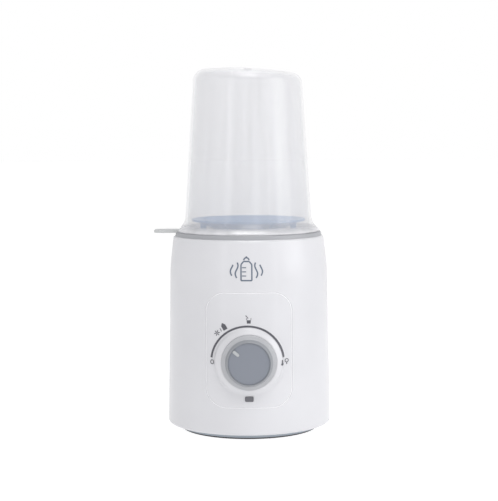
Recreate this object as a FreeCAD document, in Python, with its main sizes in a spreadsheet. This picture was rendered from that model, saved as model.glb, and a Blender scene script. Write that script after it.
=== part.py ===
import FreeCAD, Part
import math
import os
import re

import Sketcher
from FreeCAD import Placement, Rotation, Vector

# A free-standing bottle warmer, in millimetres. +Z is up, the control panel faces -Y, and the
# origin is on the axis of the housing, in the plane that it stands on.
SIZES = {
    # base
    "base_under": 1.5,
    "base_top": 4.8,
    "base_radius": 58.6,
    "base_draft": 1.6,
    "base_floor": 2.5,
    "spigot_radius": 57.2,
    "spigot_wall": 2.0,
    "spigot_top": 9.0,
    "foot_inner": 51.0,
    "foot_outer": 55.6,
    "foot_groove": 1.0,
    "base_screw_ring": 44.0,
    "base_screw_radius": 1.5,
    "base_head_radius": 3.2,
    "base_head_height": 2.2,
    "base_screw_length": 14.0,
    "base_pillar_radius": 5.4,
    "base_pillar_top": 7.0,
    # housing
    "wall": 3.2,
    "body_radius": 66.75,
    "body_corner": 2.5,
    "shoulder_radius": 64.15,
    "shoulder_height": 133.0,
    "shoulder_round": 110.0,
    "brow_radius": 61.2,
    "brow_height": 157.8,
    "brow_round": 2.2,
    "ledge_radius": 50.5,
    "boss_radius": 4.2,
    "boss_top": 40.0,
    "rib_half": 1.2,
    "slack": 0.3,
    # control panel
    "panel_width": 66.8,
    "panel_bottom": 26.8,
    "panel_top": 116.8,
    "panel_corner": 15.0,
    "panel_skin": 1.8,
    "panel_gap": 0.1,
    "panel_edge": 0.6,
    "panel_reach": 80.0,
    "panel_hollow_back": 50.0,
    "knob_height": 63.1,
    "boss_front": 68.6,
    "boss_face_radius": 22.3,
    "boss_brow_radius": 26.2,
    "boss_brow": 65.2,
    "boss_root_radius": 28.2,
    "boss_root": 58.5,
    "boss_soft": 4.0,
    "boss_foot": 3.0,
    "boss_wall": 1.6,
    "boss_hole": 6.6,
    # knob
    "knob_back": 69.0,
    "skirt_radius": 21.8,
    "skirt_edge": 1.6,
    "skirt_rise": 2.8,
    "grip_radius": 18.7,
    "grip_height": 7.0,
    "rim_radius": 17.2,
    "rim_wall": 0.8,
    "face_depth": 0.7,
    "face_thick": 1.1,
    "knob_skin": 1.6,
    "hub_radius": 6.0,
    "pointer_angle": 141.0,
    "pointer_reach": 13.0,
    "pointer_length": 5.9,
    "pointer_width": 2.4,
    "pointer_sunk": 0.5,
    "pointer_proud": 0.5,
    # thermostat
    "shaft_radius": 3.0,
    "running_gap": 0.05,
    "shaft_flat": 2.1,
    "shaft_back": 51.0,
    "shaft_front": 72.2,
    "stat_back": 44.0,
    "stat_front": 57.0,
    "stat_width": 34.0,
    "stat_height": 30.0,
    "bush_radius": 4.5,
    "bush_front": 66.7,
    "nut_flats": 12.0,
    "nut_thick": 2.6,
    "mount_boss_radius": 8.0,
    "mount_boss_front": 63.0,
    "tab_width": 4.8,
    "tab_thick": 0.8,
    "tab_length": 6.0,
    "tab_first": 8.0,
    "tab_second": 14.0,
    "tab_place": 50.5,
    # indicator
    "lamp_height": 34.0,
    "lens_width": 6.5,
    "lens_height": 4.1,
    "lens_corner": 0.9,
    "lens_front": 66.7,
    "lens_back": 61.2,
    "lamp_radius": 2.2,
    "lamp_front": 60.9,
    "lamp_back": 50.6,
    "sleeve_wall": 1.3,
    "sleeve_back": 54.0,
    "sleeve_front": 64.0,
    "lamp_gap": 0.15,
    # trim ring and chamber
    "ring_radius": 59.8,
    "ring_draft": 0.8,
    "ring_top": 161.0,
    "ring_bore": 52.3,
    "ring_lip": 51.0,
    "ring_notch": 1.0,
    "ring_round": 0.7,
    "deck_top": 159.4,
    "deck_thick": 1.6,
    "deck_radius": 52.0,
    "mouth_radius": 38.5,
    "chamber_radius": 37.0,
    "chamber_floor": 50.5,
    "chamber_wall": 2.0,
    "heater_mouth": 24.0,
    "chamber_round": 1.2,
    # heater
    "gasket_thick": 1.2,
    "gasket_radius": 29.0,
    "plate_radius": 30.0,
    "plate_flange": 2.0,
    "plate_sink": 1.0,
    "retainer_inner": 20.0,
    "retainer_outer": 37.5,
    "retainer_thick": 1.2,
    "heater_screw_ring": 33.8,
    "heater_screw_radius": 1.3,
    "heater_head_radius": 2.6,
    "heater_head_height": 1.8,
    "heater_boss_radius": 3.3,
    "element_radius": 16.0,
    "element_thick": 3.2,
    "element_tab_reach": 27.0,
    "element_tab_width": 6.3,
    "element_tab_across": 7.0,
    "element_tab_drop": 0.9,
    "clamp_thick": 1.0,
    "clamp_width": 12.0,
    "fuse_radius": 2.0,
    "fuse_length": 12.0,
    "fuse_across": 26.0,
    "fuse_along": 14.0,
    "fuse_gap": 0.4,
    # sensing bulb
    "bulb_radius": 2.2,
    "bulb_angle": 240.0,
    "bulb_ring": 42.4,
    "bulb_low": 56.0,
    "bulb_high": 80.0,
    "pocket_wall": 1.3,
    "pocket_low": 59.0,
    "pocket_high": 78.0,
    "capillary_radius": 0.7,
    # terminal block
    "block_width": 30.0,
    "block_depth": 14.0,
    "block_height": 12.0,
    "block_front": 28.0,
    "pole_pitch": 8.0,
    "pole_radius": 2.3,
    "pole_depth": 3.0,
    "lead_radius": 1.1,
    "lamp_lead_radius": 0.6,
    # cord gland
    "gland_height": 20.0,
    "gland_bore": 3.2,
    "gland_throat": 3.8,
    "gland_neck": 5.2,
    "gland_flange": 8.5,
    "gland_flange_back": 66.8,
    "gland_flange_thick": 4.0,
    "gland_lip": 6.8,
    "gland_lip_front": 62.8,
    "gland_lip_thick": 2.4,
    # lifter
    "lifter_radius": 35.4,
    "lifter_floor": 2.0,
    "lifter_centre_hole": 8.0,
    "lifter_hole": 5.0,
    "lifter_hole_ring": 19.0,
    "strip_width": 20.0,
    "strip_thick": 2.0,
    "strip_place": 34.0,
    "strip_bend": 3.0,
    "arm_under": 160.4,
    "arm_thick": 2.3,
    "arm_reach": 77.2,
    "arm_round": 8.0,
    # steam tray
    "tray_hole": 14.0,
    "tray_floor_radius": 27.0,
    "tray_under": 162.6,
    "tray_radius": 46.3,
    "tray_rim_under": 169.8,
    "tray_top": 171.4,
    "tray_wall": 1.6,
    "tray_rib_inner": 39.5,
    "tray_rib_outer": 44.0,
    "tray_rib_half": 0.8,
    # hood
    "hood_wall": 2.0,
    "hood_flange": 58.0,
    "hood_flange_thick": 1.5,
    "hood_foot_radius": 51.9,
    "hood_foot_height": 168.5,
    "hood_flare": 14.0,
    "hood_lip_round": 0.8,
    "hood_top_radius": 42.9,
    "hood_top": 294.0,
    "hood_blank_top": 305.0,
    "dome_radius": 267.0,
    "dome_lean": 12.1,
    "dome_round": 9.0,
    "hood_rib_inner": 48.6,
    "hood_rib_outer": 50.4,
    "hood_rib_drop": 1.3,
    "notch_width": 24.0,
    "notch_height": 165.0,
    "vent_radius": 3.2,
}

doc = FreeCAD.newDocument("bottle_warmer")
sheet = doc.addObject("Spreadsheet::Sheet", "Sizes")
finished = []


def fill_sheet():
    for row, (alias, size) in enumerate(SIZES.items(), start=1):
        sheet.set(f"A{row}", alias)
        sheet.set(f"B{row}", str(size))
        sheet.setAlias(f"B{row}", alias)
    doc.recompute()


# ---------------------------------------------------------------- drawing helpers


def bound(formula):
    """The formula with each size's name turned into a reference to the sheet."""
    return re.sub(
        r"[a-z_]+", lambda word: f"Sizes.{word[0]}" if word[0] in SIZES else word[0], formula
    )


def number(formula):
    """What the formula comes to, in millimetres or degrees."""
    return float(sheet.evalExpression(bound(formula)))


def new_body(label):
    body = doc.addObject("PartDesign::Body", label)
    body.Label = label
    return body


def new_sketch(body, label, plane="XY_Plane", offset="0"):
    """A sketch on one of the body's origin planes; an XZ sketch's offset counts towards -Y."""
    sketch = body.newObject("Sketcher::SketchObject", f"{body.Name}_{label}")
    origin = next(item for item in body.Origin.OriginFeatures if item.Role == plane)
    sketch.AttachmentSupport = (origin, [""])
    sketch.MapMode = "FlatFace"
    sketch.setExpression(".AttachmentOffset.Base.z", bound(offset))
    return sketch


def bind(sketch, constraint, formula):
    """Adds the constraint and ties its value to the formula."""
    place = sketch.addConstraint(constraint)
    sketch.setExpression(f"Constraints[{place}]", bound(formula))


def draw_outline(sketch, corners, rounds=None):
    """A closed chain of lines through the corners; rounds holds a radius by corner number."""
    points = [Vector(number(x), number(y), 0) for x, y in corners]
    count = len(points)
    first = sketch.GeometryCount
    for start, end in zip(points, points[1:] + points[:1]):
        sketch.addGeometry(Part.LineSegment(start, end), False)
    for step in range(count):
        following = first + (step + 1) % count
        sketch.addConstraint(Sketcher.Constraint("Coincident", first + step, 2, following, 1))
    for step, (x, y) in enumerate(corners):
        line = first + step
        bind(sketch, Sketcher.Constraint("DistanceX", -1, 1, line, 1, points[step].x), x)
        bind(sketch, Sketcher.Constraint("DistanceY", -1, 1, line, 1, points[step].y), y)
    for corner, radius in (rounds or {}).items():
        here = points[corner]
        before = (points[corner - 1] - here).normalize()
        after = (points[(corner + 1) % count] - here).normalize()
        size = number(radius)
        half_turn = before.getAngle(after) / 2
        trim = size / math.tan(half_turn)
        sketch.fillet(
            first + (corner - 1) % count,
            first + corner,
            here + before * trim,
            here + after * trim,
            size,
            True,
            True,
        )
        arc = max(
            index for index, shape in enumerate(sketch.Geometry) if hasattr(shape, "Radius")
        )
        bind(sketch, Sketcher.Constraint("Radius", arc, size), radius)


def draw_circle(sketch, radius, x="0", y="0"):
    centre = Vector(number(x), number(y), 0)
    ring = sketch.addGeometry(Part.Circle(centre, Vector(0, 0, 1), number(radius)), False)
    bind(sketch, Sketcher.Constraint("DistanceX", -1, 1, ring, 3, centre.x), x)
    bind(sketch, Sketcher.Constraint("DistanceY", -1, 1, ring, 3, centre.y), y)
    bind(sketch, Sketcher.Constraint("Radius", ring, number(radius)), radius)


def box_corners(left, right, low, high):
    return [(left, low), (right, low), (right, high), (left, high)]


def turn(body, label, corners, rounds=None):
    """A profile of (radius, height) corners turned about the body's own Z axis."""
    sketch = new_sketch(body, f"{label}_profile", "XZ_Plane")
    draw_outline(sketch, corners, rounds)
    feature = body.newObject("PartDesign::Revolution", f"{body.Name}_{label}")
    feature.Profile = sketch
    feature.ReferenceAxis = (sketch, ["V_Axis"])
    feature.Angle = 360
    sketch.Visibility = False
    return feature


def pad(body, label, sketch, length, both_ways=False):
    feature = body.newObject("PartDesign::Pad", f"{body.Name}_{label}")
    feature.Profile = sketch
    feature.setExpression("Length", bound(length))
    feature.SideType = "Symmetric" if both_ways else "One side"
    sketch.Visibility = False
    return feature


def pocket(body, label, sketch, length, both_ways=False, forward=False):
    """A cut from the sketch's plane against its normal, or along it when forward."""
    feature = body.newObject("PartDesign::Pocket", f"{body.Name}_{label}")
    feature.Profile = sketch
    feature.setExpression("Length", bound(length))
    feature.SideType = "Symmetric" if both_ways else "One side"
    feature.Reversed = forward
    sketch.Visibility = False
    return feature


def around(body, features, count):
    """Repeats the features evenly about the body's Z axis."""
    pattern = body.newObject("PartDesign::PolarPattern", f"{features[0].Name}_ring")
    axis = next(item for item in body.Origin.OriginFeatures if item.Role == "Z_Axis")
    pattern.Originals = features
    pattern.Axis = (axis, [""])
    pattern.Angle = 360
    pattern.Occurrences = count
    body.Tip = pattern
    return pattern


def aim_forward(body, height):
    """Lays a body whose Z axis is the knob's way out along -Y, at the given height."""
    body.Placement = Placement(Vector(0, 0, 0), Rotation(Vector(1, 0, 0), 90))
    body.setExpression("Placement.Base.z", bound(height))


def boolean(kind, label, shapes):
    doc.recompute()
    result = doc.addObject(kind, label)
    result.Label = label
    if kind == "Part::Cut":
        result.Base, result.Tool = shapes
    else:
        result.Shapes = shapes
    return result


def subtract(label, base, tool):
    return boolean("Part::Cut", label, [base, tool])


def unite(label, shapes):
    return boolean("Part::MultiFuse", label, shapes)


def overlap(label, shapes):
    return boolean("Part::MultiCommon", label, shapes)


def soften(label, base, rounds):
    """Rounds the edges of a form; rounds pairs lists of edge numbers with a radius."""
    soft = doc.addObject("Part::Fillet", label)
    soft.Label = label
    soft.Base = base
    soft.Edges = [(edge, number(radius), number(radius)) for edges, radius in rounds for edge in edges]
    return soft


def keep(sub_part):
    """Marks an object as one of the finished sub-parts."""
    finished.append(sub_part)
    return sub_part


def keep_group(label, shapes):
    """One finished sub-part of several separate solids."""
    group = doc.addObject("Part::Feature", label)
    group.Label = label
    group.Shape = Part.makeCompound(shapes)
    return keep(group)


def spun_copies(source, angles):
    """Copies of the body's solid, each turned about the warmer's axis."""
    doc.recompute()
    copies = []
    for angle in angles:
        copy = source.Shape.copy()
        copy.rotate(Vector(0, 0, 0), Vector(0, 0, 1), angle)
        copies.append(copy)
    return copies


# ---------------------------------------------------------------- base


def make_base_plate():
    body = new_body("base_plate")
    turn(
        body,
        "dish",
        [
            ("0", "base_under"),
            ("foot_inner - 0.1", "base_under"),
            ("foot_inner - 0.1", "base_under + foot_groove"),
            ("foot_outer + 0.1", "base_under + foot_groove"),
            ("foot_outer + 0.1", "base_under"),
            ("base_radius - base_draft", "base_under"),
            ("base_radius", "base_top"),
            ("spigot_radius", "base_top"),
            ("spigot_radius", "spigot_top"),
            ("spigot_radius - spigot_wall", "spigot_top"),
            ("spigot_radius - spigot_wall", "base_under + base_floor"),
            ("0", "base_under + base_floor"),
        ],
    )
    pillar = new_sketch(body, "pillar_outline", offset="base_under + base_floor")
    draw_circle(pillar, "base_pillar_radius", "base_screw_ring")
    column = pad(body, "pillar", pillar, "base_pillar_top - base_under - base_floor")
    around(body, [column], 4)
    sink = new_sketch(body, "sink_outline", offset="base_under")
    draw_circle(sink, "base_head_radius + slack", "base_screw_ring")
    well = pocket(body, "sink", sink, "base_head_height + 0.5", forward=True)
    around(body, [well], 4)
    hole = new_sketch(body, "hole_outline", offset="base_under")
    draw_circle(hole, "base_screw_radius + 0.25", "base_screw_ring")
    bore = pocket(body, "hole", hole, "base_pillar_top", forward=True)
    around(body, [bore], 4)
    body.Placement = Placement(Vector(0, 0, 0), Rotation(Vector(0, 0, 1), 45))
    return keep(body)


def make_foot_ring():
    body = new_body("foot_ring")
    ring_top = "base_under + foot_groove"
    turn(body, "band", box_corners("foot_inner", "foot_outer", "0", ring_top), {0: "0.5", 1: "0.5"})
    return keep(body)


def make_base_screws():
    body = new_body("base_screw_one")
    seat = "base_under + base_head_height + 0.5"
    body.setExpression("Placement.Base.x", bound("base_screw_ring"))
    body.setExpression("Placement.Base.z", bound(seat))
    turn(
        body,
        "screw",
        [
            ("0", "1 - base_head_height"),
            ("1.2", "0 - base_head_height"),
            ("base_head_radius", "0 - base_head_height"),
            ("base_head_radius", "0"),
            ("base_screw_radius", "0"),
            ("base_screw_radius", "base_screw_length - 1.5"),
            ("0", "base_screw_length"),
        ],
    )
    keep_group("base_screws", spun_copies(body, (45, 135, 225, 315)))


# ---------------------------------------------------------------- housing and panel


def barrel(label, inset):
    """The housing's outer form, solid, drawn in by the inset on every side."""
    body = new_body(label)
    turn(
        body,
        "form",
        [
            ("0", f"base_top + {inset}"),
            (f"body_radius - {inset}", f"base_top + {inset}"),
            (f"shoulder_radius - {inset}", "shoulder_height"),
            (f"brow_radius - {inset}", f"brow_height - {inset}"),
            ("0", f"brow_height - {inset}"),
        ],
        {1: f"body_corner - {inset} / 4", 2: "shoulder_round", 3: f"brow_round - {inset} / 4"},
    )
    return body


def panel_block(label, gap):
    """The panel's rounded rectangle, run out to the front."""
    body = new_body(label)
    sketch = new_sketch(body, "outline", "XZ_Plane", "stat_back")
    half = f"(panel_width / 2 + {gap})"
    corners = box_corners(f"0 - {half}", half, f"panel_bottom - {gap}", f"panel_top + {gap}")
    draw_outline(sketch, corners, {corner: f"panel_corner + {gap}" for corner in range(4)})
    pad(body, "block", sketch, "panel_reach - stat_back")
    return body


def side_radius(height):
    """The radius of the housing's straight side at a height."""
    drop = number("body_radius - shoulder_radius") / number("shoulder_height - base_top")
    return number("body_radius") - drop * (height - number("base_top"))


def side_edges(shape, wanted):
    """The numbers of the front edges that lie in the housing's straight side and are wanted."""
    near = 0.05

    def in_side(point):
        return point.y < 0 and abs(math.hypot(point.x, point.y) - side_radius(point.z)) < near

    numbers = []
    for index, edge in enumerate(shape.Edges, start=1):
        middle = edge.valueAt((edge.FirstParameter + edge.LastParameter) / 2)
        points = [end.Point for end in edge.Vertexes] + [middle]
        if all(in_side(point) and wanted(point) for point in points):
            numbers.append(index)
    return numbers


def on_panel_outline(point):
    """True round the panel's outline, and not inside it."""
    inside = 0.1
    across = abs(point.x) > number("panel_width / 2 - panel_corner") - inside
    beside = number("panel_bottom") + inside < point.z < number("panel_top") - inside
    return point.z > number("panel_bottom") - 1 and (across or not beside)


def on_boss_foot(point):
    """True where the boss meets the panel, above the lamp's window."""
    off_axis = math.hypot(point.x, point.z - number("knob_height"))
    above_window = point.z > number("lamp_height + lens_height / 2 + slack")
    return above_window and off_axis < number("boss_root_radius")


def forward_rod(label, radius, back, front, height):
    """A plain rod that points forward, for holes and round bosses."""
    body = new_body(label)
    turn(body, "rod", box_corners("0", radius, back, front))
    aim_forward(body, height)
    return body


def lens_form(label, gap, back, front):
    body = new_body(label)
    sketch = new_sketch(body, "outline", "XZ_Plane", back)
    half_width = f"(lens_width / 2 + {gap})"
    low = f"lamp_height - lens_height / 2 - {gap}"
    high = f"lamp_height + lens_height / 2 + {gap}"
    corners = box_corners(f"0 - {half_width}", half_width, low, high)
    draw_outline(sketch, corners, {corner: "lens_corner" for corner in range(4)})
    pad(body, "block", sketch, f"{front} - ({back})")
    return body


def housing_bosses():
    """Four screw columns with a rib each, which stiffens the wall."""
    body = new_body("housing_bosses")
    round_sketch = new_sketch(body, "column_outline", offset="base_pillar_top")
    draw_circle(round_sketch, "boss_radius", "base_screw_ring")
    column = pad(body, "column", round_sketch, "boss_top - base_pillar_top")
    rib_sketch = new_sketch(body, "rib_outline", offset="spigot_top + slack")
    ends = box_corners("base_screw_ring", "body_radius - wall / 2", "0 - rib_half", "rib_half")
    draw_outline(rib_sketch, ends)
    rib = pad(body, "rib", rib_sketch, "boss_top - spigot_top - slack")
    around(body, [column, rib], 4)
    pilot = new_sketch(body, "pilot_outline", offset="base_pillar_top")
    draw_circle(pilot, "base_screw_radius + running_gap", "base_screw_ring")
    bore = pocket(body, "pilot", pilot, "base_screw_length", forward=True)
    around(body, [bore], 4)
    body.Placement = Placement(Vector(0, 0, 0), Rotation(Vector(0, 0, 1), 45))
    return body


def upright_rod(label, radius, low, high):
    body = new_body(label)
    turn(body, "rod", box_corners("0", radius, low, high))
    return body


def make_housing():
    lamp_bore = "lamp_radius + lamp_gap"
    lamp_wall = f"{lamp_bore} + sleeve_wall"
    shell = subtract("housing_shell", barrel("housing_form", "0"), barrel("cavity_form", "wall"))
    bosses = [
        shell,
        housing_bosses(),
        forward_rod("shaft_boss", "mount_boss_radius", "stat_front", "mount_boss_front", "knob_height"),
        forward_rod("lamp_sleeve", lamp_wall, "sleeve_back", "sleeve_front", "lamp_height"),
    ]
    with_bosses = unite("housing_with_bosses", bosses)
    recess = subtract(
        "panel_recess", panel_block("recess_block", "panel_gap"), barrel("recess_floor", "panel_skin")
    )
    outside = "0 - body_radius - 5"
    inside = "wall + 8 - body_radius"
    openings = [
        recess,
        upright_rod("bottom_opening", "spigot_radius + slack", "0", "spigot_top"),
        upright_rod("top_opening", "ledge_radius", "shoulder_height", "brow_height + 5"),
        forward_rod("bush_hole", "bush_radius + 0.2", "stat_front - 5", "panel_reach", "knob_height"),
        forward_rod("lamp_hole", lamp_bore, "sleeve_back - 5", "lens_back", "lamp_height"),
        lens_form("lens_window", "0.1", "lens_back", "panel_reach"),
        forward_rod("gland_hole", "gland_neck + 0.1", outside, inside, "gland_height"),
    ]
    sharp = subtract("housing_cut", with_bosses, unite("housing_openings", openings))
    doc.recompute()
    rim = side_edges(sharp.Shape, on_panel_outline)
    keep(soften("housing", sharp, [(rim, "panel_edge")]))


def make_control_panel():
    skin = overlap("panel_skin", [panel_block("panel_form", "0"), barrel("panel_outside", "0")])
    boss = new_body("panel_boss")
    turn(
        boss,
        "flare",
        [
            ("boss_hole", "boss_front - boss_wall"),
            ("boss_face_radius - boss_wall", "boss_front - boss_wall"),
            ("boss_face_radius - boss_wall", "boss_root"),
            ("boss_root_radius", "boss_root"),
            ("boss_brow_radius", "boss_brow"),
            ("boss_face_radius", "boss_front"),
            ("boss_hole", "boss_front"),
        ],
        {4: "boss_soft", 5: "0.6"},
    )
    aim_forward(boss, "knob_height")
    with_boss = unite("panel_with_boss", [skin, boss])
    hollow_front = "boss_front - boss_wall"
    hollow_radius = "boss_face_radius - boss_wall"
    removed = [
        barrel("panel_inside", "panel_skin"),
        forward_rod("boss_hollow", hollow_radius, "panel_hollow_back", hollow_front, "knob_height"),
        lens_form("panel_window", "0.1", "lens_back", "panel_reach"),
    ]
    sharp = subtract("panel_cut", with_boss, unite("panel_openings", removed))
    doc.recompute()
    rim = side_edges(sharp.Shape, on_panel_outline)
    foot = side_edges(sharp.Shape, on_boss_foot)
    keep(soften("control_panel", sharp, [(rim, "panel_edge"), (foot, "boss_foot")]))


def make_indicator():
    keep(lens_form("indicator_lens", "0", "lens_back", "lens_front"))
    keep(forward_rod("neon_lamp", "lamp_radius", "lamp_back", "lamp_front", "lamp_height"))


def make_cord_gland():
    """The bush in the rear wall, wider inside than at its mouth; its axis runs out towards +Y."""
    body = new_body("cord_gland")
    outside = "gland_flange_back + gland_flange_thick"
    mouth = "gland_flange_back + 0.2"
    turn(
        body,
        "bush",
        [
            ("gland_throat", "gland_lip_front - gland_lip_thick"),
            ("gland_lip - 0.8", "gland_lip_front - gland_lip_thick"),
            ("gland_lip", "gland_lip_front"),
            ("gland_neck", "gland_lip_front"),
            ("gland_neck", "gland_flange_back"),
            ("gland_flange", "gland_flange_back"),
            ("gland_flange", outside),
            ("gland_bore", outside),
            ("gland_bore", mouth),
            ("gland_throat", f"{mouth} - 0.8"),
        ],
        {6: "1.8"},
    )
    body.Placement = Placement(Vector(0, 0, 0), Rotation(Vector(1, 0, 0), -90))
    body.setExpression("Placement.Base.z", bound("gland_height"))
    return keep(body)


# ---------------------------------------------------------------- knob and thermostat


def make_knob():
    body = new_body("knob")
    front = "knob_back + grip_height"
    seat = f"{front} - face_depth - face_thick"
    inside = f"{seat} - knob_skin"
    bore = "shaft_radius + running_gap"
    turn(
        body,
        "grip",
        [
            ("0", seat),
            ("rim_radius - rim_wall", seat),
            ("rim_radius - rim_wall", front),
            ("rim_radius", front),
            ("grip_radius", "knob_back + skirt_rise"),
            ("skirt_radius - 0.3", "knob_back + skirt_edge"),
            ("skirt_radius", "knob_back"),
            ("skirt_radius - 1.6", "knob_back"),
            ("grip_radius - 1.5", "knob_back + skirt_edge"),
            ("rim_radius - 1.5", inside),
            ("hub_radius", inside),
            ("hub_radius", "knob_back + 0.4"),
            (bore, "knob_back + 0.4"),
            (bore, "shaft_front + 0.2"),
            ("0", "shaft_front + 0.2"),
        ],
        {3: "0.3", 4: "0.9", 5: "0.5"},
    )
    flat = new_sketch(body, "flat_outline", offset="knob_back + 0.4")
    reach = "shaft_flat + running_gap"
    draw_outline(flat, box_corners("0 - hub_radius / 2", "hub_radius / 2", reach, "4"))
    pad(body, "flat", flat, "shaft_front - knob_back")
    aim_forward(body, "knob_height")
    return keep(body)


def pointer_outline(body, label, gap, offset):
    """A bar with round ends, out from the knob's centre at the pointer's angle."""
    sketch = new_sketch(body, label, offset=offset)
    half = f"(pointer_width / 2 + {gap})"
    inner = f"pointer_reach - pointer_length / 2 - {gap}"
    outer = f"pointer_reach + pointer_length / 2 + {gap}"
    corners = box_corners(inner, outer, f"0 - {half}", half)
    draw_outline(sketch, corners, {corner: "pointer_width / 2 - 0.1" for corner in range(4)})
    sketch.setExpression(".AttachmentOffset.Rotation.Angle", bound("pointer_angle"))
    return sketch


def make_knob_face():
    body = new_body("knob_face")
    seat = "knob_back + grip_height - face_depth - face_thick"
    edge = "rim_radius - rim_wall - running_gap"
    turn(body, "disc", box_corners("0", edge, seat, f"{seat} + face_thick"), {2: "0.3"})
    slot = pointer_outline(body, "slot_outline", "running_gap", f"{seat} + face_thick")
    pocket(body, "slot", slot, "pointer_sunk")
    aim_forward(body, "knob_height")
    return keep(body)


def make_knob_pointer():
    body = new_body("knob_pointer")
    sketch = pointer_outline(
        body, "bar_outline", "0", "knob_back + grip_height - face_depth - pointer_sunk"
    )
    pad(body, "bar", sketch, "pointer_sunk + pointer_proud")
    aim_forward(body, "knob_height")
    return keep(body)


def make_thermostat():
    body = new_body("thermostat")
    sketch = new_sketch(body, "case_outline", offset="stat_back")
    half_width = "stat_width / 2"
    half_height = "stat_height / 2"
    corners = box_corners(f"0 - {half_width}", half_width, f"0 - {half_height}", half_height)
    draw_outline(sketch, corners, {corner: "2" for corner in range(4)})
    pad(body, "case", sketch, "stat_front - stat_back")
    bush = new_sketch(body, "bush_outline", offset="stat_front")
    draw_circle(bush, "bush_radius")
    pad(body, "bush", bush, "bush_front - stat_front")
    bore = new_sketch(body, "bore_outline", offset="bush_front")
    draw_circle(bore, "shaft_radius + running_gap")
    pocket(body, "bore", bore, "bush_front - shaft_back + 0.4")
    aim_forward(body, "knob_height")
    return keep(body)


def make_thermostat_shaft():
    body = new_body("thermostat_shaft")
    turn(body, "rod", box_corners("0", "shaft_radius", "shaft_back", "shaft_front"))
    flat = new_sketch(body, "flat_outline", offset="shaft_front")
    draw_outline(flat, box_corners("0 - 4", "4", "shaft_flat", "4"))
    pocket(body, "flat", flat, "shaft_front - knob_back - 0.2")
    aim_forward(body, "knob_height")
    return keep(body)


def make_thermostat_nut():
    body = new_body("thermostat_nut")
    sketch = new_sketch(body, "hexagon", offset="bush_front - nut_thick")
    across = "nut_flats / 2 / cos(30)"
    corners = [(f"{across} * cos({60 * side})", f"{across} * sin({60 * side})") for side in range(6)]
    draw_outline(sketch, corners)
    pad(body, "blank", sketch, "nut_thick")
    bore = new_sketch(body, "thread", offset="bush_front")
    draw_circle(bore, "bush_radius + running_gap")
    pocket(body, "bore", bore, "nut_thick")
    aim_forward(body, "knob_height")
    return keep(body)


def make_thermostat_tabs():
    """Two blade terminals under the thermostat."""
    tabs = []
    for label, centre in (("first", "tab_first"), ("second", "tab_second")):
        body = new_body(f"{label}_tab")
        sketch = new_sketch(body, "outline", "XZ_Plane", "tab_place - tab_thick / 2")
        top = "knob_height - stat_height / 2"
        left = f"{centre} - tab_width / 2"
        right = f"{centre} + tab_width / 2"
        draw_outline(sketch, box_corners(left, right, f"{top} - tab_length", top))
        pad(body, "blade", sketch, "tab_thick")
        tabs.append(body)
    doc.recompute()
    return keep_group("thermostat_tabs", [tab.Shape.copy() for tab in tabs])


# ---------------------------------------------------------------- chamber and heater


def make_trim_ring():
    body = new_body("trim_ring")
    turn(
        body,
        "band",
        [
            ("ring_bore", "brow_height"),
            ("ring_radius", "brow_height"),
            ("ring_radius - ring_draft", "ring_top"),
            ("ring_lip", "ring_top"),
            ("ring_lip", "deck_top"),
            ("ring_bore", "deck_top"),
        ],
        {2: "ring_round"},
    )
    notch = new_sketch(body, "notch_outline", offset="ring_top")
    half = "notch_width / 2"
    draw_outline(notch, box_corners("0 - ring_radius - 2", "0 - ring_lip + 2", f"0 - {half}", half))
    pocket(body, "notch", notch, "ring_notch")
    return keep(body)


def make_chamber_liner():
    body = new_body("chamber_liner")
    deck_under = "deck_top - deck_thick"
    turn(
        body,
        "pot",
        [
            ("heater_mouth", "chamber_floor - chamber_wall"),
            ("chamber_radius + chamber_wall", "chamber_floor - chamber_wall"),
            ("mouth_radius + chamber_wall", deck_under),
            ("deck_radius", deck_under),
            ("deck_radius", "deck_top"),
            ("mouth_radius", "deck_top"),
            ("chamber_radius", "chamber_floor"),
            ("heater_mouth", "chamber_floor"),
        ],
        {1: "chamber_round + chamber_wall", 5: "1.2", 6: "chamber_round"},
    )
    boss = new_sketch(body, "boss_outline", offset="chamber_floor - chamber_wall / 2")
    draw_circle(boss, "heater_boss_radius", "heater_screw_ring")
    column = pad(body, "boss", boss, "gasket_thick + plate_flange + chamber_wall / 2")
    column.Reversed = True
    around(body, [column], 4)
    pilot_low = "chamber_floor - chamber_wall - gasket_thick - plate_flange"
    pilot = new_sketch(body, "pilot_outline", offset=pilot_low)
    draw_circle(pilot, "heater_screw_radius + running_gap", "heater_screw_ring")
    bore = pocket(body, "pilot", pilot, "chamber_wall + plate_flange", forward=True)
    around(body, [bore], 4)
    pocket_x = "bulb_ring * cos(bulb_angle)"
    pocket_y = "bulb_ring * sin(bulb_angle)"
    sleeve = new_sketch(body, "sleeve_outline", offset="pocket_low")
    draw_circle(sleeve, "bulb_radius + running_gap + pocket_wall", pocket_x, pocket_y)
    pad(body, "sleeve", sleeve, "pocket_high - pocket_low")
    hollow = new_sketch(body, "hollow_outline", offset="pocket_low")
    draw_circle(hollow, "bulb_radius + running_gap", pocket_x, pocket_y)
    pocket(body, "hollow", hollow, "pocket_high - pocket_low", forward=True)
    return keep(body)


def make_heater_gasket():
    body = new_body("heater_gasket")
    top = "chamber_floor - chamber_wall"
    turn(body, "ring", box_corners("heater_mouth", "gasket_radius", f"{top} - gasket_thick", top))
    return keep(body)


def make_heater_plate():
    body = new_body("heater_plate")
    flange_top = "chamber_floor - chamber_wall - gasket_thick"
    turn(
        body,
        "dish",
        [
            ("0", f"{flange_top} - plate_flange"),
            ("plate_radius", f"{flange_top} - plate_flange"),
            ("plate_radius", flange_top),
            ("heater_mouth - slack", flange_top),
            ("heater_mouth - slack", "chamber_floor - plate_sink"),
            ("0", "chamber_floor - plate_sink"),
        ],
        {4: "1"},
    )
    return keep(body)


PLATE_UNDER = "(chamber_floor - chamber_wall - gasket_thick - plate_flange)"
FUSE_HEIGHT = f"{PLATE_UNDER} - retainer_thick - fuse_radius - fuse_gap"


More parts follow.
